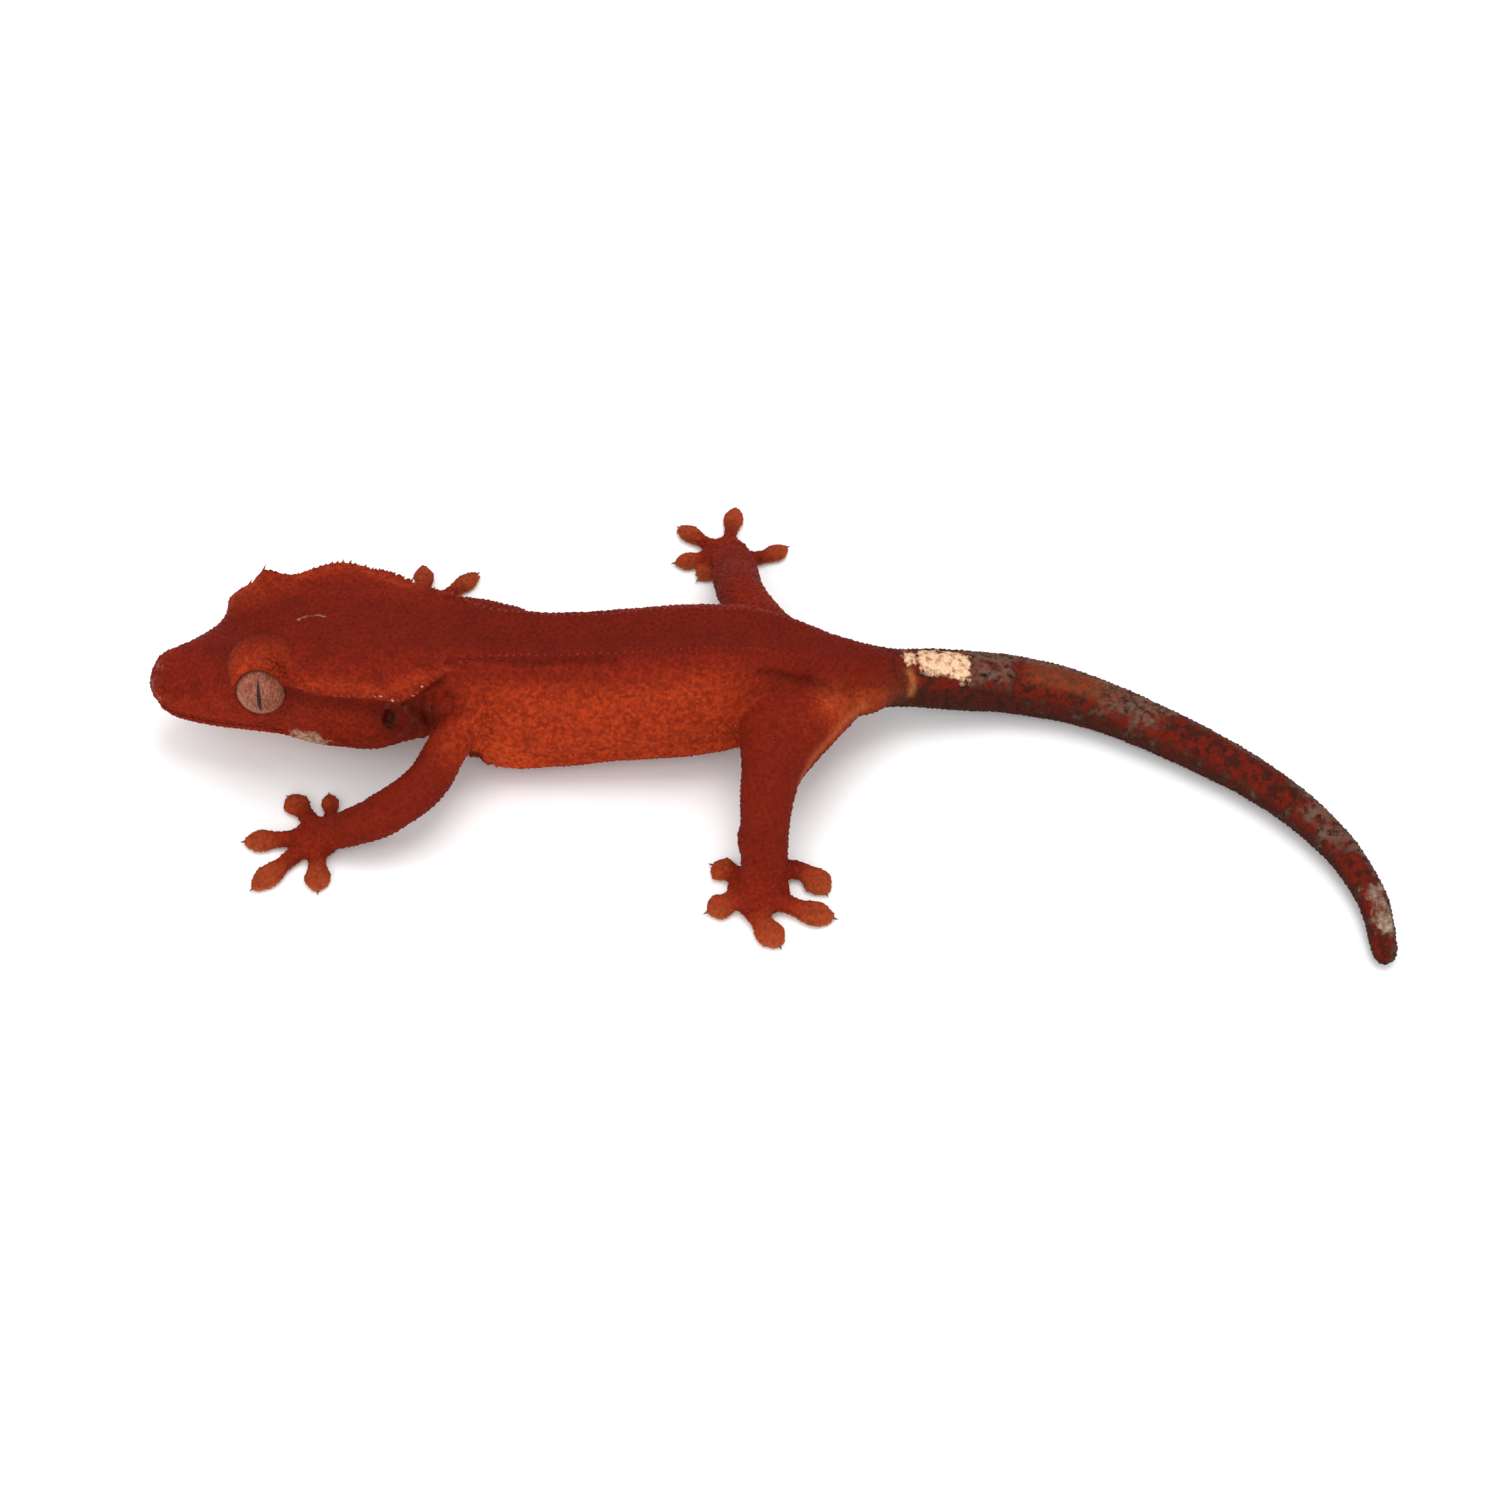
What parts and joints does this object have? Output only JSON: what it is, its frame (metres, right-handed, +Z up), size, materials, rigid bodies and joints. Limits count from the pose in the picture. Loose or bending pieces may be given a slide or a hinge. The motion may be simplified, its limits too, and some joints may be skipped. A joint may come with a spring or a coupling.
{
  "type": "crested gecko",
  "caption": "Life-size crested gecko standing low on a flat floor, head level, toes spread, tail curved to one side.",
  "frame": {"origin": "the point of the floor under the middle of the belly, on the small flat that the belly rests on", "axes": "+Z up, -X towards the snout, +X towards the base of the tail, -Y towards the animal's left side"},
  "size_m": [0.1461, 0.074, 0.02],
  "materials": {
    "skin": "matt granular reptile skin, brick red with orange and dark speckle",
    "tail_skin": "matt reptile skin, dark red with grey-brown saddles and a cream patch at the base",
    "toe_skin": "thin matt reptile skin, orange brown, with dark claws",
    "eye": "clear wet cornea over a veined tan iris with an upright slit pupil"
  },
  "bodies": {
    "root": {"head": "skin", "eye_left": "eye", "eye_right": "eye", "neck": "skin", "torso": "skin", "tail_base": "tail_skin", "tail_middle": "tail_skin", "tail_tip": "tail_skin", "upper_arm_left": "skin", "forearm_left": "skin", "hand_left": "toe_skin", "thigh_left": "skin", "shank_left": "skin", "foot_left": "toe_skin", "upper_arm_right": "skin", "forearm_right": "skin", "hand_right": "toe_skin", "thigh_right": "skin", "shank_right": "skin", "foot_right": "toe_skin"}
  },
  "joints": []
}
